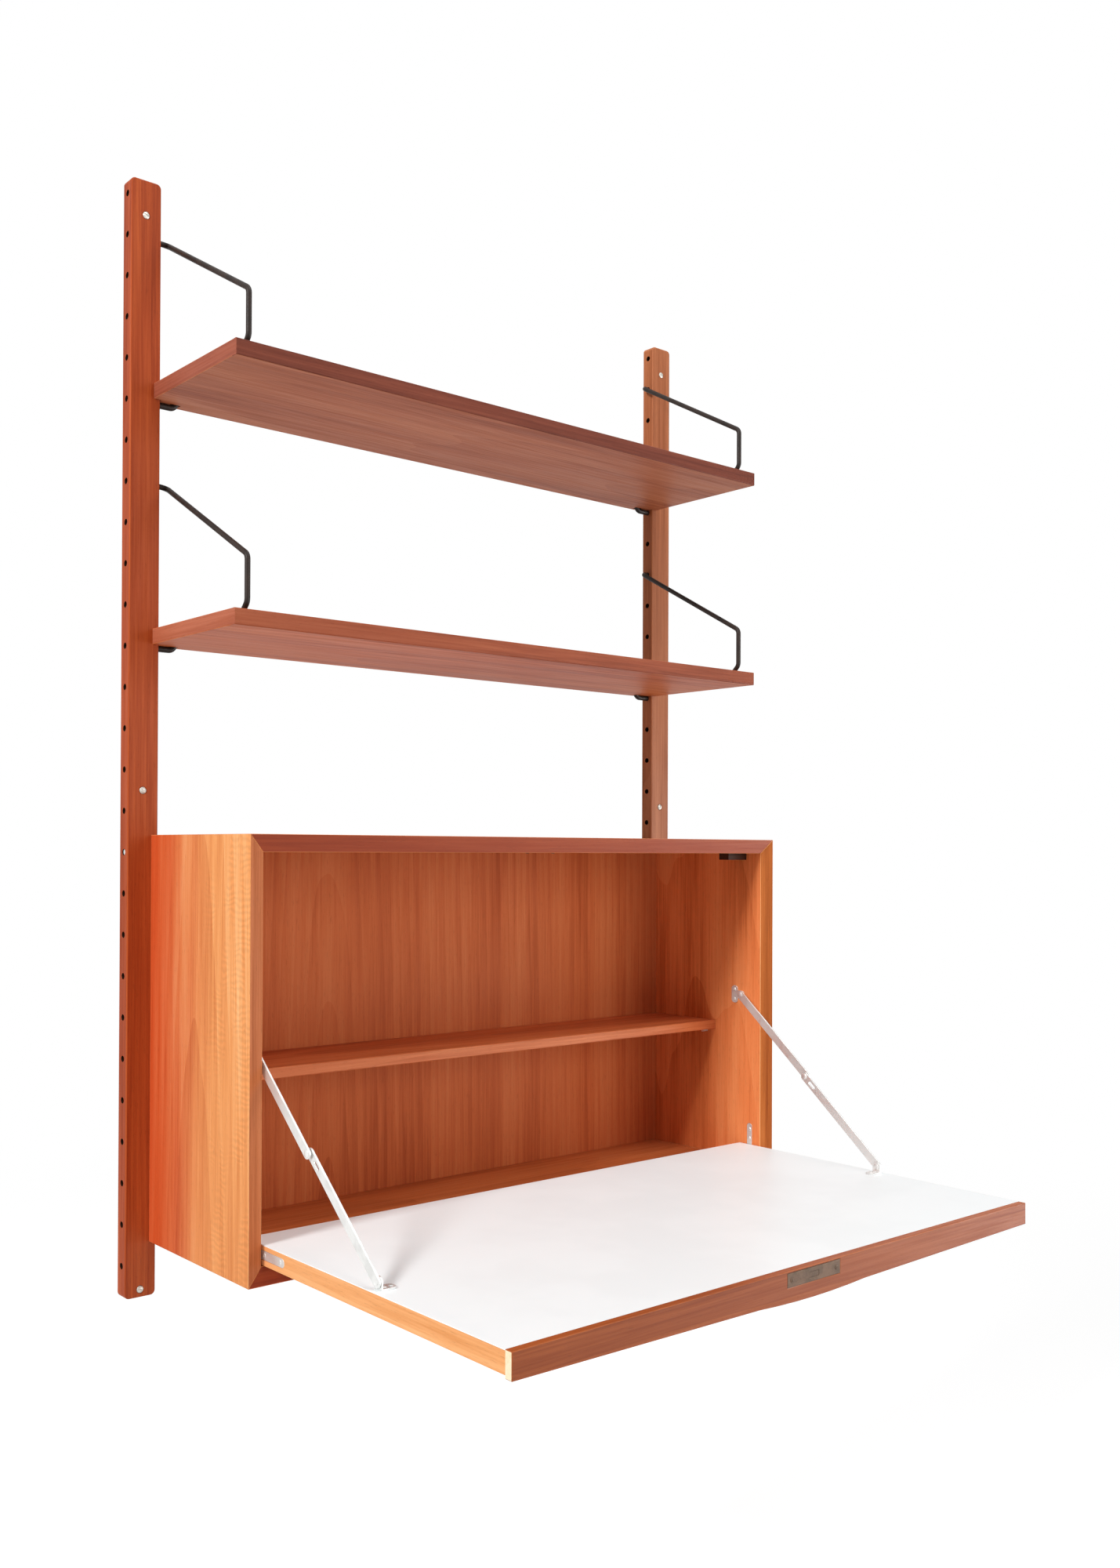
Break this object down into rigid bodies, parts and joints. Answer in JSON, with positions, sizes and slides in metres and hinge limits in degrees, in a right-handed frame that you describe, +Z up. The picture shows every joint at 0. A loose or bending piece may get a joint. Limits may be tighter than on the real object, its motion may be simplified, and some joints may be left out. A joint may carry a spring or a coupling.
{
  "type": "fold-down wall desk",
  "caption": "Wall-hung fold-down desk: drilled teak uprights carry hung shelves and a drop-front cabinet whose white-topped flap turns on knife hinges and is held by folding stays.",
  "frame": {"origin": "centre of the rectangle of the four corner wall screws, on the wall plane", "axes": "+X along the wall to the right seen from the room, +Y into the wall, +Z up; the flap opens towards -Y"},
  "size_m": [0.856, 0.5985, 1.221],
  "materials": {
    "upright_teak": "oiled teak, upright grain",
    "shelf_teak": "oiled teak veneer",
    "lipping_teak": "oiled solid teak",
    "carcass_teak": "oiled teak veneer",
    "inner_teak": "oiled teak veneer, upright grain",
    "flap_teak": "oiled teak veneer",
    "rail_pine": "planed softwood",
    "white_laminate": "smooth white laminate",
    "satin_steel": "satin nickel-plated steel",
    "black_steel": "black lacquered steel",
    "lock_steel": "dulled steel",
    "stop_dark": "dark stained hardwood"
  },
  "bodies": {
    "frame": {"cabinet_back": "inner_teak", "cabinet_bottom": "carcass_teak", "cabinet_side_left": "carcass_teak", "cabinet_side_right": "carcass_teak", "cabinet_top": "carcass_teak", "flap_stop": "stop_dark", "hanger_rod_lower_left": "black_steel", "hanger_rod_lower_right": "black_steel", "hanger_rod_upper_left": "black_steel", "hanger_rod_upper_right": "black_steel", "hanging_bolts": "satin_steel", "hanging_rail": "rail_pine", "hinge_cabinet_leaf_left": "satin_steel", "hinge_cabinet_leaf_right": "satin_steel", "hinge_pins": "satin_steel", "hinge_washers": "satin_steel", "inner_shelf": "inner_teak", "inner_shelf_pins": "satin_steel", "lock_strike_plate": "lock_steel", "shelf_lower": "shelf_teak", "shelf_lower_lipping": "lipping_teak", "shelf_pegs": "black_steel", "shelf_upper": "shelf_teak", "shelf_upper_lipping": "lipping_teak", "stay_upper_bracket_left": "satin_steel", "stay_upper_bracket_right": "satin_steel", "stay_upper_rivets": "satin_steel", "upright_left": "upright_teak", "upright_right": "upright_teak"},
    "flap": {"flap_laminate": "white_laminate", "flap_lipping": "lipping_teak", "flap_panel": "flap_teak", "hinge_flap_leaf_left": "satin_steel", "hinge_flap_leaf_right": "satin_steel", "lock_case": "lock_steel", "lock_escutcheon": "lock_steel", "lock_face_plate": "lock_steel", "stay_lower_bracket_left": "satin_steel", "stay_lower_bracket_right": "satin_steel", "stay_lower_rivets": "satin_steel"},
    "stay_upper_left": {"stay_knee_rivet_outer_left": "satin_steel", "stay_upper_link_left": "satin_steel"},
    "stay_upper_right": {"stay_knee_rivet_outer_right": "satin_steel", "stay_upper_link_right": "satin_steel"},
    "stay_lower_left": {"stay_knee_rivet_inner_left": "satin_steel", "stay_lower_link_left": "satin_steel"},
    "stay_lower_right": {"stay_knee_rivet_inner_right": "satin_steel", "stay_lower_link_right": "satin_steel"},
    "lock_cylinder": {"lock_cylinder": "lock_steel"},
    "lock_bolt": {"lock_bolt": "lock_steel"}
  },
  "joints": [
    {"name": "flap_hinge", "type": "hinge", "parent": "frame", "child": "flap", "pos_m": [0, -0.2075, -0.5025], "axis": [-1, 0, 0], "range_deg": [0, 90]},
    {"name": "stay_upper_left_pivot", "type": "hinge", "parent": "frame", "child": "stay_upper_left", "pos_m": [-0.3787, -0.194, -0.299], "axis": [1, 0, 0], "range_deg": [0, 56.99]},
    {"name": "stay_upper_right_pivot", "type": "hinge", "parent": "frame", "child": "stay_upper_right", "pos_m": [0.3787, -0.194, -0.299], "axis": [1, 0, 0], "range_deg": [0, 56.99]},
    {"name": "stay_lower_left_pivot", "type": "hinge", "parent": "flap", "child": "stay_lower_left", "pos_m": [-0.375, -0.411, -0.4897], "axis": [-1, 0, 0], "range_deg": [0, 33.61]},
    {"name": "stay_lower_right_pivot", "type": "hinge", "parent": "flap", "child": "stay_lower_right", "pos_m": [0.375, -0.411, -0.4897], "axis": [-1, 0, 0], "range_deg": [0, 33.61]},
    {"name": "key_turn", "type": "hinge", "parent": "flap", "child": "lock_cylinder", "pos_m": [0, -0.5745, -0.515], "axis": [0, 0, 1], "range_deg": [0, 90.3]},
    {"name": "lock_bolt_slide", "type": "slide", "parent": "flap", "child": "lock_bolt", "axis": [0, -1, 0], "range_m": [0, 0.008]}
  ],
  "couplings": [
    {"joint": "stay_upper_left_pivot", "follows": "flap_hinge", "ratio": 0.6299},
    {"joint": "stay_upper_right_pivot", "follows": "flap_hinge", "ratio": 0.6299},
    {"joint": "stay_lower_left_pivot", "follows": "flap_hinge", "ratio": 0.3701},
    {"joint": "stay_lower_right_pivot", "follows": "flap_hinge", "ratio": 0.3701},
    {"joint": "key_turn", "follows": "lock_bolt_slide", "rad_per_m": 196.35}
  ]
}
